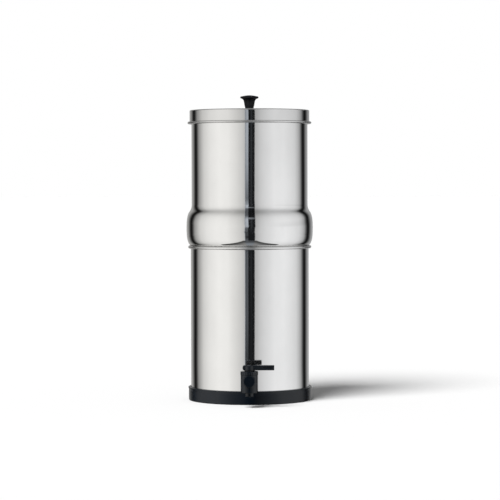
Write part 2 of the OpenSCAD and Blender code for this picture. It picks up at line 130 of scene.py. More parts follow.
class Finish:
    """A material being built from nodes, with its principled shader at hand."""

    def __init__(self, name):
        self.material = bpy.data.materials.new(name)
        self.material.use_nodes = True
        self.tree = self.material.node_tree
        self.shader = self.tree.nodes["Principled BSDF"]
        self.place = self.add("ShaderNodeTexCoord").outputs["Object"]

    def add(self, kind, settings=None, **inputs):
        """A node with its settings, and its inputs by name."""
        made = self.tree.nodes.new(kind)
        for key, value in (settings or {}).items():
            setattr(made, key, value)
        for key, value in inputs.items():
            self.feed(made.inputs[key.replace("_", " ")], value)
        return made

    def feed(self, socket, value):
        """Links a value that another node works out, and sets one that is a plain number or colour."""
        if isinstance(value, bpy.types.NodeSocket):
            self.tree.links.new(value, socket)
        else:
            socket.default_value = value

    def noise(self, scale, stretch=(1, 1, 1), detail=3.0, roughness=0.5):
        """Cloudy noise in the piece's own coordinates, stretched by the given factors."""
        place = self.add("ShaderNodeMapping", Vector=self.place, Scale=stretch).outputs["Vector"]
        made = self.add("ShaderNodeTexNoise", Vector=place, Scale=scale, Detail=detail,
                        Roughness=roughness)
        return made.outputs["Fac"]

    def spread(self, value, low, high, start=0.3, end=0.7):
        """Goes from low to high while the value goes from start to end."""
        made = self.add("ShaderNodeMapRange", Value=value, To_Min=low, To_Max=high, From_Min=start,
                        From_Max=end)
        return made.outputs["Result"]

    def shades(self, value, dark, light):
        """A colour that goes from the dark to the light shade with the value."""
        made = self.add("ShaderNodeValToRGB", Fac=value)
        made.color_ramp.elements[0].position = 0.3
        made.color_ramp.elements[0].color = (*dark, 1)
        made.color_ramp.elements[1].position = 0.7
        made.color_ramp.elements[1].color = (*light, 1)
        return made.outputs["Color"]

    def relief(self, value, height, strength=1.0, under=None):
        """A bump of the given height in metres, on top of an earlier one."""
        made = self.add("ShaderNodeBump", Height=value, Distance=height, Strength=strength)
        if under is not None:
            self.feed(made.inputs["Normal"], under)
        return made.outputs["Normal"]

    def give(self, **inputs):
        """Feeds the shader's inputs by name, and hands over the finished material."""
        for key, value in inputs.items():
            self.feed(self.shader.inputs[key.replace("_", " ")], value)
        return self.material


ROLLED_ROUGHNESS = 0.3
ROLLED_EDGE = 0.0003
ROLLED_PAST = 0.0005


def mirror_steel(name, dark=(0.83, 0.828, 0.822), light=(0.87, 0.868, 0.862), rolled=()):
    """Stainless sheet polished to a mirror: faint upright streaks from the polishing belt, and a very
    slight sway in the sheet that bends the reflections a little. Each pair of heights in rolled takes in
    a bend or a bead that was rolled after the polishing, and is duller."""
    finish = Finish(name)
    streaks = finish.noise(260, (1, 1, 0.02), detail=5)
    sway = finish.noise(14, (1, 1, 0.35), detail=1)
    haze = finish.noise(30, (1, 1, 0.6), detail=3)
    bump = finish.relief(sway, 0.00012)
    bump = finish.relief(streaks, 0.000002, under=bump)
    roughness = finish.spread(streaks, 0.035, 0.075)
    for bottom, top in rolled:
        height = finish.add("ShaderNodeSeparateXYZ", Vector=finish.place).outputs["Z"]
        dull = finish.spread(height, ROLLED_ROUGHNESS, roughness, top - ROLLED_EDGE, top + ROLLED_EDGE)
        roughness = finish.spread(height, roughness, dull, bottom - ROLLED_EDGE, bottom + ROLLED_EDGE)
    return finish.give(
        Base_Color=finish.shades(haze, dark, light),
        Metallic=1.0,
        Roughness=roughness,
        Normal=bump,
    )


bead_middle = (LOWER_R - SHEET + LOWER_BEAD / 2, LOWER_RIM - LOWER_BEAD / 2)
raise_r = LOWER_R - RAISE_IN
lower_path = np.vstack([
    [[0, SEAT_Z + FLOOR_RAISE]],
    line((0, SEAT_Z + FLOOR_RAISE), (raise_r, SEAT_Z + FLOOR_RAISE), 6),
    arc((raise_r, SEAT_Z + FLOOR_RAISE - RAISE_BEND), RAISE_BEND, 90, RAISE_ANGLE, 5),
    arc((raise_r + RAISE_RUN, SEAT_Z + RAISE_BEND), RAISE_BEND, 180 + RAISE_ANGLE, 270, 5)[1:],
    arc((LOWER_R - LOWER_CORNER, SEAT_Z + LOWER_CORNER), LOWER_CORNER, -90, 0, 14),
    line((LOWER_R, SEAT_Z + LOWER_CORNER), (LOWER_R, bead_middle[1]), 24),
    arc(bead_middle, LOWER_BEAD / 2 - SHEET, 180, CURL_END, 44),
])
lower_chamber = surface("lower_chamber_wall", [turned(pressed(lower_path, SHEET))], "lower_body")
lower_bead = (LOWER_RIM - LOWER_BEAD, LOWER_RIM + ROLLED_PAST)
lower_chamber.data.materials.append(mirror_steel("lower_chamber_steel", rolled=[lower_bead]))
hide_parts("lower_chamber")


# ---- Base ring ----
# A black moulded ring under the lower chamber: a foot, an inner ledge that carries the steel, and a wall
# with a rounded lip that hides the chamber's bottom bend. Its satin skin comes from the mould.

RING_IN = 0.1001
RING_WALL = 0.0039
RING_H = 0.0225
RING_LIP = 0.0008
RING_FOOT = 0.0016
RING_FOOT_IN = 0.0025
LEDGE_IN = 0.084
LEDGE_T = 0.003
LEDGE_ROOT = 0.003
LEDGE_EDGE = 0.0004
RING_NECK = 0.0032
RING_CREST = 0.0012
RING_IN_EDGE = 0.001


def moulded(name, dark, light, roughness, specular=(0.5, 0.5), grain=0.00001, grain_scale=1400):
    """Moulded plastic: a cloudy shade, a fine grain from the mould, and gloss that varies where it was
    handled. The specular level goes from its first value, seen straight on, to its second, seen at 33
    degrees and more."""
    finish = Finish(name)
    facing = finish.add("ShaderNodeLayerWeight", Blend=0.5).outputs["Facing"]
    cloud = finish.noise(45, detail=4)
    fine = finish.noise(grain_scale, detail=2)
    wear = finish.noise(110, detail=5, roughness=0.65)
    return finish.give(
        Base_Color=finish.shades(cloud, dark, light),
        Roughness=finish.spread(wear, roughness - 0.04, roughness + 0.04),
        Specular_IOR_Level=finish.spread(facing, *specular, 0, 0.16),
        Normal=finish.relief(fine, grain),
    )


ring_out = RING_IN + RING_WALL
ring_outline = np.vstack([
    [[LEDGE_IN, SEAT_Z - LEDGE_EDGE], [LEDGE_IN, SEAT_Z - LEDGE_T]],
    [[RING_IN - LEDGE_ROOT, SEAT_Z - LEDGE_T], [RING_IN - RING_FOOT_IN, 0]],
    arc((ring_out - RING_FOOT, RING_FOOT), RING_FOOT, -90, 0, 10),
    line((ring_out, RING_FOOT), (ring_out, RING_H - RING_NECK), 6),
    [[ring_out, RING_H - RING_NECK]],
    arc((ring_out + RING_LIP - RING_CREST, RING_H - RING_CREST), RING_CREST, 0, 90, 10),
    arc((RING_IN + RING_IN_EDGE, RING_H - RING_IN_EDGE), RING_IN_EDGE, 90, 180, 8),
    [[RING_IN, SEAT_Z], [LEDGE_IN + LEDGE_EDGE, SEAT_Z]],
])
ring = surface("base_ring_moulded", [turned(ring_outline)], "lower_body")
base_dark = (0.0015, 0.0040, 0.0075)
base_light = (0.0030, 0.0058, 0.0100)
base_black = moulded("base_satin_black", base_dark, base_light, 0.24, (0.12, 0.38), 0.000012, 2200)
ring.data.materials.append(base_black)
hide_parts("base_ring")


# ---- Tap body ----
# The fixed part of the quarter-turn tap, moulded in one piece in black plastic: a threaded shank through
# the wall, a collar that clamps against it, a barrel that ends in a closed boss, and an upright housing
# for the valve whose foot narrows to the spout.

TAP_Z = 0.0446
VALVE_Y = -0.151
SHANK_R = 0.0078
SHANK_IN = 0.018
WASHER_T = 0.003
COLLAR_R = 0.014
COLLAR_T = 0.004
BARREL_R = 0.0085
BOSS_R = 0.0097
BOSS_L = 0.0025
BAR_STOP = 0.0092
HOUSING_R = 0.01415
HOUSING_DROP = 0.0196
HOUSING_EDGE = 0.0015
SHOULDER_Z = 0.0544
NECK_R = 0.0125
NECK_TOP = 0.0585
VALVE_R = 0.00705
VALVE_FOOT_Z = 0.0326
PORT_R = 0.004
SPOUT_R = 0.0071
SPOUT_ROOT = 0.0012
SPOUT_BORE = 0.00475
SPOUT_MOUTH_Z = 0.0189
PITCH = 0.0018
THREAD = 0.0006
THREAD_STOP = 0.001
FLARE = 0.0016
FLARE_FADE = (0.002, 0.003)
BORE_STOP = 0.001
SHANK_EDGE = 0.0008
PORT_EDGE = 0.0006
COLLAR_BACK_EDGE = 0.0005
COLLAR_EDGE = 0.001
BARREL_ROOT = 0.002
BOSS_EDGE = 0.0012
MOUTH_BORE_EDGE = 0.0006
MOUTH_EDGE = 0.0009
SHOULDER_EDGE = 0.0003
NECK_EDGE = 0.0005


def along_tap(profile, swell, steps=96):
    """Rings round the tap's level axis: each (distance, radius) of a closed outline, its distance
    measured outwards from the shank's end, goes once round as x = radius * cos(a), z = TAP_Z + radius *
    sin(a), with a swell added to the radius."""
    a = np.linspace(0, 2 * np.pi, steps, endpoint=False)[None, :]
    distance = profile[:, :1]
    y = np.broadcast_to(-LOWER_R + SHEET + SHANK_IN - distance, (len(profile), steps))

    def ring(radius):
        return np.stack([radius * np.cos(a), y, TAP_Z + radius * np.sin(a)], axis=-1)

    radius = np.clip(profile[:, 1:], 0, None) * np.ones_like(a)
    return ring(radius + swell(ring(radius), distance, a))


def housing_flare(points, distance, a):
    """The fillet where a round bar leaves the housing: a quarter circle of FLARE in the distance from the
    housing's wall. It fades out towards the cap: FLARE_FADE is how far below the cap it ends, and over
    what height. The distance along the bar and the turn aren't needed."""
    off = np.hypot(points[..., 0], points[..., 1] - VALVE_Y) - HOUSING_R
    near = np.clip(1 - np.abs(off) / FLARE, 0, 1)
    fillet = FLARE * (1 - np.sqrt(1 - near ** 2))
    top = np.clip((SHOULDER_Z - FLARE_FADE[0] - points[..., 2]) / FLARE_FADE[1], 0, 1)
    return fillet * top


def bar_swell(points, distance, a):
    """The housing's fillet, and on the shank a thread: the radius falls by THREAD from each crest to its
    root, as a triangle wave of the distance in pitches and the turn."""
    start = np.clip((distance - SHANK_EDGE) / PITCH, 0, 1)
    end = np.clip((SHANK_IN + SHEET - THREAD_STOP - distance) / PITCH, 0, 1)
    wave = np.abs(((distance / PITCH + a / (2 * np.pi)) % 1) * 2 - 1)
    return housing_flare(points, distance, a) - THREAD * wave * start * end


collar_at = SHANK_IN + SHEET + WASHER_T
barrel_at = collar_at + COLLAR_T
valve_at = -LOWER_R + SHEET + SHANK_IN - VALVE_Y
bar_profile = np.vstack([
    [[valve_at - BAR_STOP - BORE_STOP, 0]],
    [[valve_at - BAR_STOP - BORE_STOP, PORT_R]],
    [[PORT_EDGE, PORT_R], [0, PORT_R + PORT_EDGE]],
    [[0, SHANK_R - SHANK_EDGE]],
    arc((SHANK_EDGE, SHANK_R - SHANK_EDGE), SHANK_EDGE, 180, 90, 4),
    line((SHANK_EDGE, SHANK_R), (collar_at, SHANK_R), 130),
    [[collar_at, SHANK_R]],
    [[collar_at, COLLAR_R - COLLAR_BACK_EDGE]],
    arc((collar_at + COLLAR_BACK_EDGE, COLLAR_R - COLLAR_BACK_EDGE), COLLAR_BACK_EDGE, 180, 90, 5),
    arc((barrel_at - COLLAR_EDGE, COLLAR_R - COLLAR_EDGE), COLLAR_EDGE, 90, 0, 8),
    line((barrel_at, COLLAR_R - COLLAR_EDGE), (barrel_at, BARREL_R + BARREL_ROOT), 3),
    arc((barrel_at + BARREL_ROOT, BARREL_R + BARREL_ROOT), BARREL_ROOT, 180, 270, 10),
    line((barrel_at + BARREL_ROOT, BARREL_R), (valve_at - BAR_STOP, BARREL_R), 60),
    [[valve_at - BAR_STOP, BARREL_R], [valve_at - BAR_STOP, 0]],
])
boss_end = valve_at + HOUSING_R + BOSS_L
boss_profile = np.vstack([
    [[valve_at + BAR_STOP, 0], [valve_at + BAR_STOP, BOSS_R]],
    line((valve_at + BAR_STOP, BOSS_R), (boss_end - BOSS_EDGE, BOSS_R), 30),
    arc((boss_end - BOSS_EDGE, BOSS_R - BOSS_EDGE), BOSS_EDGE, 90, 0, 10),
    line((boss_end, BOSS_R - BOSS_EDGE), (boss_end, 0), 6),
    [[boss_end, 0]],
])
foot_z = TAP_Z - HOUSING_DROP
housing_outline = np.vstack([
    [[SPOUT_BORE, VALVE_FOOT_Z]],
    [[SPOUT_BORE, SPOUT_MOUTH_Z + MOUTH_BORE_EDGE]],
    arc((SPOUT_BORE + MOUTH_BORE_EDGE, SPOUT_MOUTH_Z + MOUTH_BORE_EDGE), MOUTH_BORE_EDGE, 180, 270, 5),
    arc((SPOUT_R - MOUTH_EDGE, SPOUT_MOUTH_Z + MOUTH_EDGE), MOUTH_EDGE, -90, 0, 8),
    line((SPOUT_R, SPOUT_MOUTH_Z + MOUTH_EDGE), (SPOUT_R, foot_z - SPOUT_ROOT), 8),
    arc((SPOUT_R + SPOUT_ROOT, foot_z - SPOUT_ROOT), SPOUT_ROOT, 180, 90, 10),
    arc((HOUSING_R - HOUSING_EDGE, foot_z + HOUSING_EDGE), HOUSING_EDGE, -90, 0, 12),
    line((HOUSING_R, foot_z + HOUSING_EDGE), (HOUSING_R, SHOULDER_Z - SHOULDER_EDGE), 16),
    arc((HOUSING_R - SHOULDER_EDGE, SHOULDER_Z - SHOULDER_EDGE), SHOULDER_EDGE, 0, 90, 3),
    [[NECK_R, SHOULDER_Z], [NECK_R, NECK_TOP - NECK_EDGE], [NECK_R - NECK_EDGE, NECK_TOP]],
    [[VALVE_R, NECK_TOP], [VALVE_R, VALVE_FOOT_Z]],
])
tap_body = surface("tap_body_moulded", [
    along_tap(bar_profile, bar_swell),
    along_tap(boss_profile, housing_flare),
    turned(housing_outline, steps=160, axis=(0, VALVE_Y)),
], "lower_body")
tap_dark = (0.0015, 0.0035, 0.0060)
tap_light = (0.0028, 0.0050, 0.0080)
tap_gloss = (0.12, 0.44)
tap_body.data.materials.append(moulded("tap_black", tap_dark, tap_light, 0.24, tap_gloss))
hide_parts("tap_body")


# ---- Tap washers and nut ----
# Two black rubber washers seal the wall inside and outside, and a hexagon nut with a flange is screwed up
# on the shank from inside the chamber. They have their full shape in the frame, and get their materials
# here.

def dress(name, material):
    """Gives a part that keeps its shape from the frame its material."""
    node[name].data.materials.clear()
    node[name].data.materials.append(material)


def pressed_rubber(name, dark, light):
    """Moulded rubber: a matt skin with a coarse grain and dusty patches."""
    finish = Finish(name)
    dust = finish.noise(60, detail=6, roughness=0.7)
    skin = finish.noise(900, detail=3)
    return finish.give(
        Base_Color=finish.shades(dust, dark, light),
        Roughness=finish.spread(dust, 0.62, 0.78),
        Specular_IOR_Level=0.3,
        Normal=finish.relief(skin, 0.00003),
    )


washer_black = pressed_rubber("washer_rubber_black", (0.012, 0.012, 0.013), (0.022, 0.022, 0.023))
dress("tap_outer_washer", washer_black)
dress("tap_inner_washer", washer_black)
dress("tap_nut", moulded("tap_nut_black", (0.010, 0.010, 0.011), (0.016, 0.016, 0.017), 0.42))


# ---- Tap valve ----
# A plug of smooth white acetal, bored from its side to its foot, turns in the housing between two greased
# rubber rings. Only its stem comes out, through the cap, and carries the lever.

dress("tap_plug", moulded("valve_white", (0.80, 0.80, 0.77), (0.87, 0.87, 0.84), 0.28))
o_ring_black = pressed_rubber("o_ring_rubber_black", (0.010, 0.010, 0.010), (0.018, 0.018, 0.018))
dress("tap_o_ring_lower", o_ring_black)
dress("tap_o_ring_upper", o_ring_black)


# ---- Tap cap ----
# The black moulded cap that is screwed down over the valve: shallow grip flutes round its side, a rounded
# top edge, and two lugs on top that stop the lever after a quarter turn.

CAP_R = 0.01445
CAP_H = 0.0059
CAP_EDGE = 0.0009
CAP_FOOT_EDGE = 0.0004
CAP_PLAY = 0.0001
FLUTES = 18
FLUTE_DEPTH = 0.0003
FLUTE_HALF = 0.0008
FLUTE_WALL = 0.0006
FLUTE_RUN_OUT = 0.0012
STEM_R = 0.00405
LUG_IN = 0.0068
LUG_OUT = 0.008
LUG_H = 0.0012
LUG_SPAN = 20
LUG_STARTS = (152, 8)
LUG_SUNK = 0.0004
LUG_EDGE = 0.0003
CAP_STEPS = 432

cap_top = SHOULDER_Z + CAP_H
cap_outline = np.vstack([
    [[NECK_R + CAP_PLAY, SHOULDER_Z]],
    [[CAP_R - CAP_FOOT_EDGE, SHOULDER_Z]],
    arc((CAP_R - CAP_FOOT_EDGE, SHOULDER_Z + CAP_FOOT_EDGE), CAP_FOOT_EDGE, -70, 0, 4),
    line((CAP_R, SHOULDER_Z + CAP_FOOT_EDGE), (CAP_R, cap_top - CAP_EDGE), 14),
    arc((CAP_R - CAP_EDGE, cap_top - CAP_EDGE), CAP_EDGE, 0, 90, 8),
    line((CAP_R - CAP_EDGE, cap_top), (STEM_R, cap_top), 5),
    [[STEM_R, cap_top], [STEM_R, NECK_TOP + 2 * CAP_PLAY], [NECK_R + CAP_PLAY, NECK_TOP + 2 * CAP_PLAY]],
])


def flutes(outline):
    """How deep the grip flutes cut: FLUTE_DEPTH * (1 - (offset / FLUTE_HALF) ** 2) round each flute's
    middle, on the side wall only and running out below the top edge."""
    turn = np.linspace(0, FLUTES, CAP_STEPS, endpoint=False)[:, None] % 1 - 0.5
    offset = turn * 2 * np.pi * CAP_R / FLUTES / FLUTE_HALF
    wall = np.clip((outline[:, 0] - NECK_R - FLUTE_WALL) / FLUTE_WALL, 0, 1)
    run_out = np.clip((cap_top - CAP_EDGE - outline[:, 1]) / FLUTE_RUN_OUT, 0, 1)
    return FLUTE_DEPTH * np.clip(1 - offset ** 2, 0, 1) * wall * run_out


def block(long, wide, high, edge, steps=40, side_steps=4):
    """A bar with rounded edges on a grid, in its own (along, across, up): its section is a rounded
    rectangle, and towards each end the section shrinks by the edge's radius along a quarter circle, and
    then closes."""
    corner = np.radians(np.linspace(0, 90, 5))
    run = np.linspace(-1, 1, side_steps + 1)[1:-1]
    quarter = [np.stack([np.full(5, x), np.full(5, y), np.cos(corner + t), np.sin(corner + t)])
               for x, y, t in ((1, 1, 0), (-1, 1, np.pi / 2), (-1, -1, np.pi), (1, -1, 1.5 * np.pi))]
    top = np.stack([-run, np.ones_like(run), np.zeros_like(run), np.ones_like(run)])
    left = np.stack([-np.ones_like(run), -run, -np.ones_like(run), np.zeros_like(run)])
    low = np.stack([run, -np.ones_like(run), np.zeros_like(run), -np.ones_like(run)])
    right = np.stack([np.ones_like(run), run, np.ones_like(run), np.zeros_like(run)])
    section = np.hstack([quarter[0], top, quarter[1], left, quarter[2], low, quarter[3], right])
    kx, kz, cx, cz = section[:, None, :]
    bow = np.radians(np.linspace(0, 90, 6))
    bow_in = edge * (1 - np.sin(bow))
    straight = np.linspace(edge, long - edge, steps + 1)[1:-1]
    nose = edge * (1 - np.cos(bow))
    along = np.concatenate([[0], nose, straight, long - nose[::-1], [long]])[:, None]
    inset = np.concatenate([[edge], bow_in, np.zeros(steps - 1), bow_in[::-1], [edge]])[:, None]
    closed = np.ones_like(along)
    closed[[0, -1]] = 0
    across = closed * (kx * (wide / 2 - edge) + cx * (edge - inset))
    up = closed * (kz * (high / 2 - edge) + cz * (edge - inset))
    return np.stack([np.broadcast_to(along, across.shape), across, up], axis=-1)


def lug(start, span, middle_z, height, radius=(LUG_IN, LUG_OUT)):
    """A block bent round the valve's axis: along becomes the turn from start, across becomes the radius,
    and up becomes the height over the middle."""
    middle = (radius[0] + radius[1]) / 2
    long = math.radians(span) * middle
    made = block(long, radius[1] - radius[0], height, LUG_EDGE, steps=10)
    turn = math.radians(start) + made[..., 0] / middle
    r = middle + made[..., 1]
    return np.stack([r * np.cos(turn), VALVE_Y + r * np.sin(turn), middle_z + made[..., 2]], axis=-1)


lug_z = cap_top + (LUG_H - LUG_SUNK) / 2
cap_lugs = [lug(start, LUG_SPAN, lug_z, LUG_H + LUG_SUNK) for start in LUG_STARTS]
cap = surface("tap_cap_fluted", [
    turned(cap_outline, steps=CAP_STEPS, axis=(0, VALVE_Y), dent=flutes(cap_outline)),
    *cap_lugs,
], "lower_body")
cap.data.materials.append(moulded("tap_cap_black", tap_dark, tap_light, 0.24, tap_gloss))
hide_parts("tap_bonnet")


# ---- Tap lever ----
# A black moulded lever on the valve's square stem: a round hub over a narrower neck, a bar with a long
# arm and a short rounded tail, a shallow finger recess in each side of the arm, and a lug underneath that
# meets the cap's stops.

LEVER_Z = 0.0621
LEVER_H = 0.0079
LEVER_L = 0.0409
LEVER_W = 0.011
LEVER_TAIL = 0.0109
LEVER_EDGE = 0.001
TAIL_EDGE = 0.003
HUB_R = 0.0085
HUB_EDGE = 0.0022
HUB_FOOT_EDGE = 0.0003
HUB_NECK_R = 0.0062
SCREW_WELL_R = 0.0035
SCREW_WELL = 0.0026
WELL_EDGE = 0.0003
RECESS = 0.0009
RECESS_R = 0.0014
RECESS_FROM = 0.0232
RECESS_TO = 0.0362
RECESS_EDGE = 0.0006
HUB_LUG_START = 120
HUB_LUG_SPAN = 30
HUB_LUG_UP = 0.00115
HUB_LUG_H = 0.0017
STEM_PLAY = 0.00005
SOCKET_ROOF = 0.001
HUB_LIFT = 0.0003

lever_top = LEVER_Z + LEVER_H
well_floor = lever_top - SCREW_WELL
hub_outline = np.vstack([
    [[STEM_R + STEM_PLAY, cap_top + HUB_LIFT], [HUB_NECK_R, cap_top + HUB_LIFT], [HUB_NECK_R, LEVER_Z]],
    arc((HUB_R - HUB_FOOT_EDGE, LEVER_Z + HUB_FOOT_EDGE), HUB_FOOT_EDGE, -90, 0, 4),
    line((HUB_R, LEVER_Z + HUB_FOOT_EDGE), (HUB_R, lever_top - HUB_EDGE), 5),
    arc((HUB_R - HUB_EDGE, lever_top - HUB_EDGE), HUB_EDGE, 0, 90, 12),
    line((HUB_R - HUB_EDGE, lever_top), (SCREW_WELL_R + WELL_EDGE, lever_top), 4),
    arc((SCREW_WELL_R + WELL_EDGE, lever_top - WELL_EDGE), WELL_EDGE, 90, 180, 4),
    [[SCREW_WELL_R, well_floor], [0, well_floor]],
    [[0, LEVER_Z + SOCKET_ROOF], [STEM_R + STEM_PLAY, LEVER_Z + SOCKET_ROOF]],
])


def lever_bar():
    """A block from the tail to the tip. Its height shrinks over the tail's end along a quarter circle of
    TAIL_EDGE, and each side of the arm is let in by RECESS within RECESS_R of a level line, with a soft
    edge."""
    made = block(LEVER_L + LEVER_TAIL, LEVER_W, LEVER_H, LEVER_EDGE, steps=150, side_steps=18)
    x = made[..., 0] - LEVER_TAIL
    bow = np.clip(1 - made[..., 0] / TAIL_EDGE, 0, 1)
    shrink = 1 - (1 - np.sqrt(1 - bow ** 2)) * TAIL_EDGE / (LEVER_H / 2)
    z = LEVER_Z + LEVER_H / 2 + made[..., 2] * shrink
    off = np.hypot(x - np.clip(x, RECESS_FROM, RECESS_TO), made[..., 2])
    soft = np.clip((RECESS_R - off) / RECESS_EDGE + 0.5, 0, 1)
    y = made[..., 1] - np.sign(made[..., 1]) * RECESS * soft ** 2 * (3 - 2 * soft)
    return np.stack([x, VALVE_Y + y, z], axis=-1)


lever = surface("tap_lever_moulded", [
    turned(hub_outline, steps=128, axis=(0, VALVE_Y)),
    lever_bar(),
    lug(HUB_LUG_START, HUB_LUG_SPAN, cap_top + HUB_LUG_UP, HUB_LUG_H),
], "tap_valve")
lever.data.materials.append(moulded("lever_black", tap_dark, tap_light, 0.36, (0.32, 0.45)))
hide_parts("tap_lever")
screw_dark = (0.55, 0.55, 0.55)
screw_light = (0.66, 0.66, 0.65)
dress("tap_lever_screw", mirror_steel("lever_screw_steel", screw_dark, screw_light))


# ---- Upper chamber ----
# The vessel that is filled with raw water, spun from one sheet. Its foot drops inside the lower rim, the
# wall rolls over that rim's bead, swells into a bulge to grip, and runs straight up to a small bead.

UPPER_R = 0.0983
UPPER_RIM = 0.490
UPPER_BEAD = 0.0024
UPPER_FLOOR = 0.2439
UPPER_CORNER = 0.008
SEAT_GAP = 0.0003
SEAT_LEAVE = 130
BULGE_MIDDLE = (0.1071, 0.2929)
BULGE_END = (UPPER_R, 0.3319)
BULGE_LEAVE = 0.23
BULGE_SWELL = 0.6
BULGE_HOLD = 0.82
BULGE_FALL = 0.41


def curve(a, b, c, d, steps):
    """A cubic curve from a to d that leaves towards b and arrives from c, without its first point:
    (1-t)^3 a + 3 (1-t)^2 t b + 3 (1-t) t^2 c + t^3 d."""
    t = np.linspace(0, 1, steps + 1)[1:, None]
    a, b, c, d = (np.asarray(p) for p in (a, b, c, d))
    return (1 - t) ** 3 * a + 3 * (1 - t) ** 2 * t * b + 3 * (1 - t) * t ** 2 * c + t ** 3 * d


seat = LOWER_BEAD / 2 + SEAT_GAP
leave = np.array([math.cos(math.radians(SEAT_LEAVE)), math.sin(math.radians(SEAT_LEAVE))])
onward = np.array([leave[1], -leave[0]])
bulge_start = np.array(bead_middle) + seat * leave
bulge_r, bulge_z = BULGE_MIDDLE
swell_h = bulge_z - bulge_start[1]
fall_h = BULGE_END[1] - bulge_z
upper_bead_middle = (UPPER_R - SHEET + UPPER_BEAD / 2, UPPER_RIM - UPPER_BEAD / 2)
foot_r = LOWER_R - SHEET - SEAT_GAP
upper_path = np.vstack([
    [[0, UPPER_FLOOR]],
    line((0, UPPER_FLOOR), (foot_r - UPPER_CORNER, UPPER_FLOOR), 6),
    arc((foot_r - UPPER_CORNER, UPPER_FLOOR + UPPER_CORNER), UPPER_CORNER, -90, 0, 12),
    arc(bead_middle, seat, 180, SEAT_LEAVE, 10),
    curve(bulge_start, bulge_start + BULGE_LEAVE * swell_h * onward,
          (bulge_r, bulge_z - BULGE_SWELL * swell_h), BULGE_MIDDLE, 32),
    curve(BULGE_MIDDLE, (bulge_r, bulge_z + BULGE_HOLD * fall_h),
          (UPPER_R, BULGE_END[1] - BULGE_FALL * fall_h), BULGE_END, 40),
    line(BULGE_END, (UPPER_R, upper_bead_middle[1]), 16),
    arc(upper_bead_middle, UPPER_BEAD / 2 - SHEET, 180, CURL_END, 28),
])
upper_chamber = surface("upper_chamber_wall", [turned(pressed(upper_path, SHEET))], "upper_body")
upper_chamber.data.materials.append(mirror_steel("upper_chamber_steel"))
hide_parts("upper_chamber")


# ---- Filter candles ----
# Two hollow domes of unglazed ceramic round a block of pressed carbon, each cemented into a blue moulded
# cup. The cup's hollow stem goes through the floor, between a red silicone seal and a white wing nut.


def fired_ceramic(name):
    """Unglazed ceramic: off-white with slightly darker clouds, a sandy grain and a few fine scratches."""
    finish = Finish(name)
    clouds = finish.noise(35, detail=5, roughness=0.6)
    sand = finish.noise(700, detail=4, roughness=0.7)
    scratches = finish.noise(90, (1, 1, 14), detail=6)
    bump = finish.relief(scratches, 0.00006)
    return finish.give(
        Base_Color=finish.shades(clouds, (0.80, 0.765, 0.69), (0.90, 0.875, 0.81)),
        Roughness=finish.spread(sand, 0.78, 0.9),
        Specular_IOR_Level=0.3,
        Normal=finish.relief(sand, 0.00008, under=bump),
    )


ceramic = fired_ceramic("candle_ceramic")
carbon = pressed_rubber("candle_carbon", (0.02, 0.02, 0.02), (0.05, 0.05, 0.05))
cup_blue = moulded("candle_cup_blue", (0.045, 0.10, 0.27), (0.07, 0.14, 0.34), 0.36)
seal_red = pressed_rubber("seal_silicone_red", (0.42, 0.10, 0.055), (0.55, 0.16, 0.09))
nut_white = moulded("nut_white", (0.76, 0.76, 0.74), (0.85, 0.85, 0.83), 0.4)
for side in ("left", "right"):
    dress("candle_shell_" + side, ceramic)
    dress("candle_core_" + side, carbon)
    dress("candle_mount_" + side, cup_blue)
    dress("candle_seal_" + side, seal_red)
    dress("candle_wing_nut_" + side, nut_white)


# ---- Blanking plugs ----
# White moulded bolts with a round head, a red silicone seal and a hexagon nut. They close the two holes
# in the floor that are there for a second pair of candles.

plug_white = moulded("blanking_plug_white", (0.74, 0.74, 0.72), (0.84, 0.84, 0.82), 0.38)
for side in ("front", "back"):
    dress("blanking_plug_" + side, plug_white)
    dress("blanking_seal_" + side, seal_red)
    dress("blanking_nut_" + side, plug_white)


# ---- Lid ----
# A shallow cap pressed from the same sheet: flat top, a tight bend, a skirt that slips over the upper
# chamber's bead, and a rolled rim that stiffens it and keeps its cut edge out of reach.

LID_TOP = 0.4909
LID_R = 0.1014
LID_H = 0.0234
LID_BEAD = 0.0041
LID_CORNER = 0.002
LID_BEND_DROP = 0.0004

lid_bead_middle = (LID_R - SHEET + LID_BEAD / 2, LID_TOP - LID_H + LID_BEAD / 2)
lid_path = np.vstack([
    [[0, LID_TOP]],
    line((0, LID_TOP), (LID_R - LID_CORNER, LID_TOP), 10),
    arc((LID_R - LID_CORNER, LID_TOP - LID_CORNER), LID_CORNER, 90, 0, 14),
    line((LID_R, LID_TOP - LID_CORNER), (LID_R, lid_bead_middle[1]), 8),
    arc(lid_bead_middle, LID_BEAD / 2 - SHEET, 180, 360 - CURL_END, 44),
])
lid = surface("lid_cap", [turned(pressed(lid_path, -SHEET))], "lid_body")
lid_bend = (LID_TOP - LID_CORNER, LID_TOP - LID_BEND_DROP)
lid_bead = (LID_TOP - LID_H - ROLLED_PAST, LID_TOP - LID_H + LID_BEAD)
lid_dark = (0.72, 0.718, 0.712)
lid_light = (0.76, 0.758, 0.752)
lid.data.materials.append(mirror_steel("lid_cap_steel", lid_dark, lid_light, rolled=[lid_bend, lid_bead]))
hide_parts("lid")


# ---- Lid knob ----
# A black moulded mushroom knob, screwed on from under the lid: a small foot, a neck that narrows a little
# downwards, a flared underside for the fingertips and a low domed disc.

KNOB_H = 0.0253
KNOB_R = 0.0155
KNOB_NECK = 0.0072
KNOB_EDGE = 0.0019
KNOB_DOME = 0.0018


def above_lid(r, z):
    """A point of the knob's outline, at a radius and at a height above the lid's top."""
    return np.array([r, LID_TOP + z])


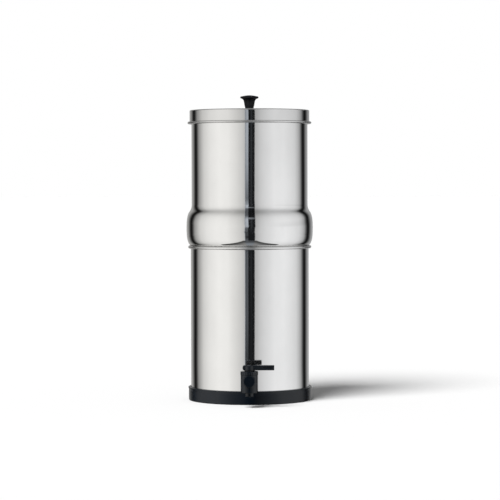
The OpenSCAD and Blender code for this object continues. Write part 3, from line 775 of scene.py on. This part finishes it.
disc_z = KNOB_H - KNOB_DOME - KNOB_EDGE
knob_foot = KNOB_NECK + 0.0003
waist = above_lid(KNOB_NECK + 0.0009, 0.0075)
flare_foot = above_lid(KNOB_NECK + 0.0026, disc_z - 0.0055)
knob_outline = np.vstack([
    above_lid(0, 0),
    above_lid(KNOB_NECK + 0.0004, 0),
    arc(above_lid(knob_foot, 0.0004), 0.0003, -30, 90, 5),
    curve(above_lid(knob_foot, 0.0007), above_lid(KNOB_NECK - 0.0002, 0.002),
          above_lid(KNOB_NECK - 0.0001, 0.0045), waist, 12),
    curve(waist, above_lid(KNOB_NECK + 0.0015, 0.0095),
          above_lid(KNOB_NECK + 0.0015, disc_z - 0.0085), flare_foot, 12),
    curve(flare_foot, above_lid(KNOB_NECK + 0.0035, disc_z - 0.0032),
          above_lid(KNOB_NECK + 0.005, disc_z - 0.0022), above_lid(KNOB_R - 0.0012, disc_z - 0.0015), 16),
    arc(above_lid(KNOB_R - KNOB_EDGE, disc_z), KNOB_EDGE, -60, 70, 14),
    curve(above_lid(KNOB_R - 0.001, disc_z + 0.0014), above_lid(KNOB_R - 0.004, disc_z + 0.0023),
          above_lid(KNOB_R / 3, KNOB_H), above_lid(0, KNOB_H), 16),
])
knob = surface("lid_knob_turned", [turned(knob_outline, steps=128)], "lid_body")
knob_dark = (0.0042, 0.0047, 0.0066)
knob_light = (0.0058, 0.0064, 0.0082)
knob.data.materials.append(moulded("knob_black", knob_dark, knob_light, 0.42, (0.35, 0.17)))
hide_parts("lid_knob")
fixing_steel = mirror_steel("knob_fixing_steel", screw_dark, screw_light)
dress("lid_knob_washer", fixing_steel)
dress("lid_knob_screw", fixing_steel)


# ---- Floor ----
# A seamless white paper floor, which catches the object's shadow. The polished steel mirrors the tent and
# the table in it instead of this paper.

FLOOR_SHADE = 0.9
FLOOR_SIDE = 40
FLOOR_BACK = 60

floor_corners = [
    (-FLOOR_SIDE, -FLOOR_SIDE, 0),
    (FLOOR_SIDE, -FLOOR_SIDE, 0),
    (FLOOR_SIDE, FLOOR_BACK, 0),
    (-FLOOR_SIDE, FLOOR_BACK, 0),
]
plane = bpy.data.meshes.new("floor")
plane.from_pydata(floor_corners, [], [(0, 1, 2, 3)])
floor = bpy.data.objects.new("floor", plane)
bpy.context.scene.collection.objects.link(floor)
paper = Finish("floor_paper")
paper_white = (FLOOR_SHADE, FLOOR_SHADE, FLOOR_SHADE, 1)
plane.materials.append(paper.give(Base_Color=paper_white, Roughness=1.0, Specular_IOR_Level=0.0))
floor.visible_glossy = False


# ---- Light ----
# A broad key light from the front left, inside a tent of white cloth. The steel shows the tent: pale
# walls, a dark gap at the front with a strip, a slit and a bar in it, a black flag on each side, and a grey
# table. Turns are in degrees from the front, to the right if positive, and heights from the level.

KEY_TURN = -35.0
KEY_RISE = 53.0
KEY_WIDTH = 30.0
KEY_POWER = 3.57
FILL = 0.21
TENT_TURN = 0.47
ROOF = (66.0, 80.0)
EDGE = 0.8
LEFT_WALL = [(0, 0.54), (9.3, 0.54), (13, 0.62), (17, 0.68), (21, 0.71), (24, 0.75), (43, 0.93), (63, 0.97),
             (86, 0.86), (102, 0.70), (111.5, 0.49), (114.5, 0.42), (119, 0.34)]
RIGHT_WALL = [(0, 0.50), (9.7, 0.50), (14, 0.55), (17, 0.61), (20, 0.66), (27, 0.74), (49, 0.92),
              (70, 0.94), (89, 0.85), (102, 0.76), (111.5, 0.58), (114.5, 0.50), (119, 0.38)]
BACK_WALL = [(122.6, 0.20), (127, 0.056), (131, 0.01), (137, 0.01), (142, 0.09), (148.5, 0.25), (157, 0.39),
             (180, 0.46)]
WALL_BY_HEIGHT = [(-90, 0.85), (-46, 0.87), (-37, 0.92), (-30, 0.95), (-24, 1.0), (0, 1.0), (10, 0.97),
                  (20, 0.92), (30, 0.83), (40, 0.73), (50, 0.64), (58, 0.545), (90, 0.42)]
GAP = (-8.85, 9.5)
GAP_SHADE = 0.0115
STRIP = (-8.4, -2.9)
STRIP_BY_HEIGHT = [(-22, 0.10), (-16, 0.075), (-13, 0.03), (-10.5, 0.03), (-9, 0.06), (-5.6, 0.07),
                   (-4.8, 0.045), (-4.5, 0.042), (-4.1, 0.07), (-3.6, 0.10), (-1.5, 0.108), (-0.4, 0.12),
                   (0, 0.29), (0.4, 0.38), (1, 0.45), (5, 0.47), (15, 0.49), (20, 0.42), (25, 0.28),
                   (31, 0.16), (38, 0.11), (70, 0.09)]
SLIT = (1.0, 4.6)
SLIT_BY_HEIGHT = [(-8, 0.012), (-4, 0.016), (-1.9, 0.024), (0, 0.034), (20, 0.034), (34, 0.013),
                  (70, 0.010)]
SLOT_EDGE = 0.9
BAR = (-3.0, 10.0)
BAR_HEIGHTS = (16.8, 24.3)
LEAN_BY_HEIGHT = [(-5.2, 0.3), (-4.8, -0.6), (-4.6, -0.9), (-4.15, -0.6), (-3.75, -0.1), (-0.5, 0.05),
                  (0, 0.5), (1.6, 1.0), (3, 0.6), (5, 0.45)]
LEAN_MOST = 2.0
UPPER_BY_HEIGHT = [(-0.6, 0), (1.5, 1), (2.5, 0.9), (9, 0)]
NARROWING = [(0, 1), (30, 0.928), (45, 0.828), (60, 0.667), (70, 0.51), (80, 0.296), (90, 0)]
HEM_DROP = 43.4
HEM_RUN = 25.0
HEM_TOP = -23.8
LEFT_TINT = (1.03, 1.022, 1.0, 1)
RIGHT_TINT = (0.985, 0.99, 1.0, 1)
GAP_TINT = (0.92, 0.99, 1.09, 1)
GAP_TINTED = (-9.6, 9.0)
ROOF_TURN = 50.0
BACK_SWING = (90.0, 110.0, 0.0, 1.8)
NEAR_FRONT = (25.0, 70.0, 1.0, 0.0)
RIGHT_SHADE = (30.0, 70.0, 0.0, 0.1)
HEM_SIDES = (72.0, 82.0, -50.0, -62.0)
HEM_BACK = (98.0, 125.0, 0.0, 26.0)
HEM_SOFT = 1.5
TABLE_SHADES = (3.0, 28.0, 0.065, 0.24)
STRIP_BY_TURN = (-7.0, -4.0, 0.94, 1.06)
BAR_BY_TURN = (-2.0, 10.0, 0.20, 0.11)
TINTS_MEET = (-30.0, 30.0)

key_data = bpy.data.lights.new("key", "SUN")
key_data.energy = KEY_POWER
key_data.angle = math.radians(KEY_WIDTH)
key = bpy.data.objects.new("key", key_data)
key.rotation_euler = (math.radians(90 - KEY_RISE), 0, math.radians(KEY_TURN))
key.visible_glossy = False
bpy.context.scene.collection.objects.link(key)

world = bpy.data.worlds.new("tent")
bpy.context.scene.world = world
world.use_nodes = True
tent = world.node_tree


def wire(kind, settings=None, inputs=None, **named):
    """A node of the tent, with its settings, and its inputs by number or by name."""
    made = tent.nodes.new(kind)
    for setting, value in (settings or {}).items():
        setattr(made, setting, value)
    for place, value in {**(inputs or {}), **named}.items():
        socket = made.inputs[place.replace("_", " ") if isinstance(place, str) else place]
        if isinstance(value, bpy.types.NodeSocket):
            tent.links.new(value, socket)
        else:
            socket.default_value = value
    return made


def reckon(operation, first, second=0.0):
    """What the named sum makes of two values, or of the first alone."""
    return wire("ShaderNodeMath", {"operation": operation}, {0: first, 1: second}).outputs["Value"]


def blend(share, first, second):
    """The first colour, going over to the second as the share goes from 0 to 1."""
    return wire("ShaderNodeMix", {"data_type": "RGBA"}, {0: share, 6: first, 7: second}).outputs[2]


def fade(value, start, end, first=0.0, last=1.0):
    """Goes smoothly from first to last while the value goes from start to end."""
    return wire("ShaderNodeMapRange", {"interpolation_type": "SMOOTHSTEP"}, Value=value, From_Min=start,
                From_Max=end, To_Min=first, To_Max=last).outputs["Result"]


def levels(angle, stops):
    """A grey level that follows the stops, each an angle and its level."""
    low = stops[0][0]
    span = stops[-1][0] - low
    share = reckon("DIVIDE", reckon("SUBTRACT", angle, low), span)
    made = wire("ShaderNodeValToRGB", Fac=share)
    elements = made.color_ramp.elements
    for _ in stops[2:]:
        elements.new(0.5)
    for element, (place, level) in zip(elements, stops):
        element.position = (place - low) / span
        element.color = (level, level, level, 1)
    return made.outputs["Color"]


def within(value, low, high, soft):
    """1 between low and high, fading to 0 over soft at both ends."""
    middle = (low + high) / 2
    half = (high - low) / 2
    off = reckon("ABSOLUTE", reckon("SUBTRACT", value, middle))
    return fade(off, half - soft / 2, half + soft / 2, 1.0, 0.0)


# Where a ray goes: its turn from the front and its height. Near the level the tent leans a little to and
# fro, and its walls at the back swing a little to the right. What stands at the front narrows to half its
# width towards the roof.
towards = wire("ShaderNodeSeparateXYZ", Vector=wire("ShaderNodeTexCoord").outputs["Generated"]).outputs
front = reckon("MULTIPLY", towards["Y"], -1.0)
turn = reckon("MULTIPLY", reckon("ARCTAN2", towards["X"], front), 180 / math.pi)
turn = reckon("SUBTRACT", turn, TENT_TURN)
rise = reckon("MULTIPLY", reckon("ARCSINE", towards["Z"]), 180 / math.pi)
lean = levels(rise, [(angle, 0.5 + shift / 2 / LEAN_MOST) for angle, shift in LEAN_BY_HEIGHT])
lean = reckon("MULTIPLY", reckon("SUBTRACT", lean, 0.5), 2 * LEAN_MOST)
turn = reckon("SUBTRACT", turn, lean)
upper = levels(rise, UPPER_BY_HEIGHT)
swing = reckon("MULTIPLY", fade(reckon("ABSOLUTE", turn), *BACK_SWING), upper)
turn = reckon("ADD", turn, swing)
near = fade(reckon("ABSOLUTE", turn), *NEAR_FRONT)
narrowing = reckon("MULTIPLY", reckon("SUBTRACT", 1.0, levels(rise, NARROWING)), near)
turn = reckon("MULTIPLY", turn, reckon("SUBTRACT", 1.0, narrowing))
aside = reckon("MAXIMUM", reckon("ABSOLUTE", turn), fade(rise, *ROOF, 0.0, ROOF_TURN))

# The walls, with the gap between them at the front.
left_wall = levels(aside, LEFT_WALL + BACK_WALL)
right_wall = levels(aside, RIGHT_WALL + BACK_WALL)
wall = blend(reckon("GREATER_THAN", turn, 0.0), left_wall, right_wall)
gap = reckon("MULTIPLY", within(turn, *GAP, EDGE), fade(rise, *ROOF, 1.0, 0.0))
shade = reckon("MULTIPLY", fade(turn, *RIGHT_SHADE), upper)
wall = reckon("MULTIPLY", wall, reckon("SUBTRACT", 1.0, shade))
wall = blend(gap, wall, (GAP_SHADE, GAP_SHADE, GAP_SHADE, 1))
wall = reckon("MULTIPLY", wall, levels(rise, WALL_BY_HEIGHT))

# The table under the walls' hem, which is highest at the front, falls towards both sides and rises again
# at the back.
hem = reckon("MULTIPLY", reckon("POWER", math.e, reckon("DIVIDE", aside, -HEM_RUN)), HEM_DROP)
side_hem = reckon("ADD", fade(aside, *HEM_SIDES), fade(aside, *HEM_BACK))
hem = reckon("MINIMUM", reckon("ADD", hem, side_hem), HEM_TOP)
below = reckon("SUBTRACT", hem, rise)
table = fade(below, *TABLE_SHADES)
room = blend(fade(below, HEM_SOFT, -HEM_SOFT), table, wall)

# What shows in the gap: the lit strip, the faint slit and the bar across.
strip = reckon("MULTIPLY", within(turn, *STRIP, SLOT_EDGE), levels(rise, STRIP_BY_HEIGHT))
strip = reckon("MULTIPLY", strip, fade(turn, *STRIP_BY_TURN))
slit = reckon("MULTIPLY", within(turn, *SLIT, SLOT_EDGE), levels(rise, SLIT_BY_HEIGHT))
bar = reckon("MULTIPLY", within(turn, *BAR, EDGE), within(rise, *BAR_HEIGHTS, EDGE))
bar = reckon("MULTIPLY", bar, fade(turn, *BAR_BY_TURN))
level = reckon("MAXIMUM", reckon("MAXIMUM", room, strip), reckon("MAXIMUM", bar, slit))
tint = blend(fade(turn, *TINTS_MEET), LEFT_TINT, RIGHT_TINT)
tint = blend(within(turn, *GAP_TINTED, EDGE), tint, GAP_TINT)
mirrored = wire("ShaderNodeVectorMath", {"operation": "SCALE"}, Vector=tint, Scale=level).outputs["Vector"]

# Only polished surfaces show the tent. All else gets an even fill, and the backdrop is white.
rays = wire("ShaderNodeLightPath").outputs
polished = reckon("MAXIMUM", rays["Is Glossy Ray"], rays["Is Transmission Ray"])
polished = reckon("MULTIPLY", polished, reckon("LESS_THAN", rays["Diffuse Depth"], 0.5))
lit = blend(polished, (FILL, FILL, FILL, 1), mirrored)
seen = blend(rays["Is Camera Ray"], lit, (1, 1, 1, 1))
tent.links.new(seen, tent.nodes["Background"].inputs["Color"])


# ---- Camera ----
# A long lens a good three and a half metres away, at the height of the upper chamber, a little to the
# right of the middle and tilted slightly down.

CAMERA_AT = (0.0319, -3.8, 0.367)
CAMERA_LENS = 161.2
CAMERA_DOWN = 1.705
CAMERA_ROLL = 0.14
CAMERA_TURN = 0.47

camera_data = bpy.data.cameras.new("camera")
camera_data.lens = CAMERA_LENS
camera_data.clip_end = 200
camera = bpy.data.objects.new("camera", camera_data)
camera.location = CAMERA_AT
camera.rotation_euler = [math.radians(angle) for angle in (90 - CAMERA_DOWN, CAMERA_ROLL, CAMERA_TURN)]
bpy.context.scene.collection.objects.link(camera)
bpy.context.scene.camera = camera
bpy.context.scene.view_settings.view_transform = "Standard"
